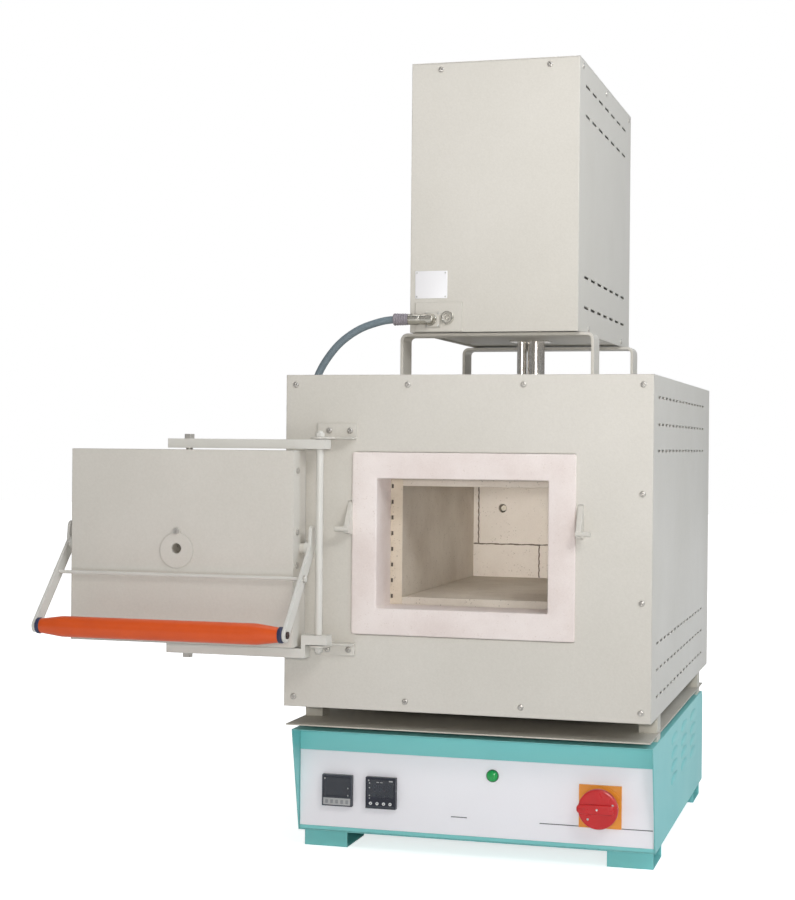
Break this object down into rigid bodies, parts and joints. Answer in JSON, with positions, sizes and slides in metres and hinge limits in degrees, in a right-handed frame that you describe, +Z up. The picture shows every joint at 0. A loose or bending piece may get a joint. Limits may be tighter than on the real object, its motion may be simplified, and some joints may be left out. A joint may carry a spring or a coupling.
{
  "type": "dental laboratory furnace",
  "caption": "Front-loading chamber furnace on a control base, with a parallel-swing insulated door, lever handle and an afterburner tower on a stand.",
  "frame": {"origin": "on the bench, below the middle of the insulated body's footprint", "axes": "+Z up, -Y the door side, +X to the right of someone who faces the door; the door is drawn open, to the left"},
  "size_m": [0.903, 0.9385, 1.275],
  "materials": {
    "turquoise_paint": "satin",
    "panel_film": "satin",
    "shield_steel": "satin",
    "grey_paint": "satin",
    "zinc_steel": "satin",
    "bare_steel": "satin",
    "pale_refractory": "matte",
    "plug_fibre": "matte",
    "chamber_brick": "matte",
    "insulation_fibre": "matte",
    "heating_wire": "matte",
    "probe_ceramic": "matte",
    "plug_nickel": "satin",
    "cable_sheath": "matte",
    "gland_nylon": "matte",
    "controller_black": "satin",
    "display_dark": "gloss",
    "keypad_grey": "satin",
    "key_white": "satin",
    "lamp_green": "gloss",
    "plate_orange": "satin",
    "knob_red": "gloss",
    "power_block": "matte",
    "grip_orange": "satin"
  },
  "bodies": {
    "root": {"base_cover": "turquoise_paint", "base_front_panel": "turquoise_paint", "panel_overlay": "panel_film", "base_chassis": "turquoise_paint", "base_feet": "turquoise_paint", "heat_shield": "shield_steel", "spacers": "shield_steel", "front_plate": "grey_paint", "left_side_panel": "grey_paint", "right_side_panel": "grey_paint", "top_panel": "grey_paint", "bottom_panel": "grey_paint", "rear_panel": "grey_paint", "casing_screws": "zinc_steel", "mouth_frame": "pale_refractory", "left_heating_plate": "chamber_brick", "right_heating_plate": "chamber_brick", "chamber_roof": "chamber_brick", "hearth_slab": "chamber_brick", "back_bricks": "chamber_brick", "insulation_boards": "insulation_fibre", "element_wires": "heating_wire", "thermocouple": "probe_ceramic", "flue_tubes": "bare_steel", "tower_stand": "grey_paint", "tower_floor": "grey_paint", "tower_shell": "grey_paint", "tower_lid": "grey_paint", "afterburner_core": "insulation_fibre", "exhaust_collar": "zinc_steel", "connector_panel": "grey_paint", "tower_plug": "plug_nickel", "tower_cable": "cable_sheath", "cable_glands": "gland_nylon", "left_controller": "controller_black", "right_controller": "controller_black", "display_windows": "display_dark", "left_keypad": "keypad_grey", "pilot_lamp": "lamp_green", "switch_plate": "plate_orange", "power_parts": "power_block", "door_catches": "grey_paint", "hinge_brackets": "grey_paint"},
    "yoke": {"hinge_post": "grey_paint", "top_arm": "grey_paint", "bottom_arm": "grey_paint", "arm_bolts": "zinc_steel"},
    "door": {"door_shell": "grey_paint", "door_plug": "plug_fibre", "door_screws": "zinc_steel"},
    "handle": {"handle_levers": "grey_paint", "handle_grip": "grip_orange", "cross_rod": "grey_paint"},
    "damper": {"air_damper": "grey_paint"},
    "knob": {"switch_knob": "knob_red"},
    "first_key": {"key_one": "key_white"},
    "second_key": {"key_two": "key_white"},
    "third_key": {"key_three": "key_white"},
    "fourth_key": {"key_four": "key_white"}
  },
  "joints": [
    {"name": "door_swing", "type": "hinge", "parent": "root", "child": "yoke", "pos_m": [-0.209, -0.43, 0.48], "axis": [0, 0, 1], "range_deg": [0, 180]},
    {"name": "door_swivel", "type": "hinge", "parent": "yoke", "child": "door", "pos_m": [-0.418, -0.43, 0.48], "axis": [0, 0, 1], "range_deg": [-180, 0]},
    {"name": "handle_lift", "type": "hinge", "parent": "door", "child": "handle", "pos_m": [-0.418, -0.43, 0.474], "axis": [-1, 0, 0], "range_deg": [-6, 70]},
    {"name": "damper_turn", "type": "hinge", "parent": "door", "child": "damper", "pos_m": [-0.424, -0.4631, 0.497], "axis": [0, 1, 0], "range_deg": [0, 42]},
    {"name": "switch_turn", "type": "hinge", "parent": "root", "child": "knob", "pos_m": [0.1965, -0.33, 0.093], "axis": [0, 1, 0], "range_deg": [0, 90]},
    {"name": "first_key_press", "type": "slide", "parent": "root", "child": "first_key", "axis": [0, 1, 0], "range_m": [0, 0.0008], "stiffness_N_per_m": 400},
    {"name": "second_key_press", "type": "slide", "parent": "root", "child": "second_key", "axis": [0, 1, 0], "range_m": [0, 0.0008], "stiffness_N_per_m": 400},
    {"name": "third_key_press", "type": "slide", "parent": "root", "child": "third_key", "axis": [0, 1, 0], "range_m": [0, 0.0008], "stiffness_N_per_m": 400},
    {"name": "fourth_key_press", "type": "slide", "parent": "root", "child": "fourth_key", "axis": [0, 1, 0], "range_m": [0, 0.0008], "stiffness_N_per_m": 400}
  ],
  "couplings": [
    {"joint": "door_swivel", "follows": "door_swing", "ratio": -1}
  ]
}
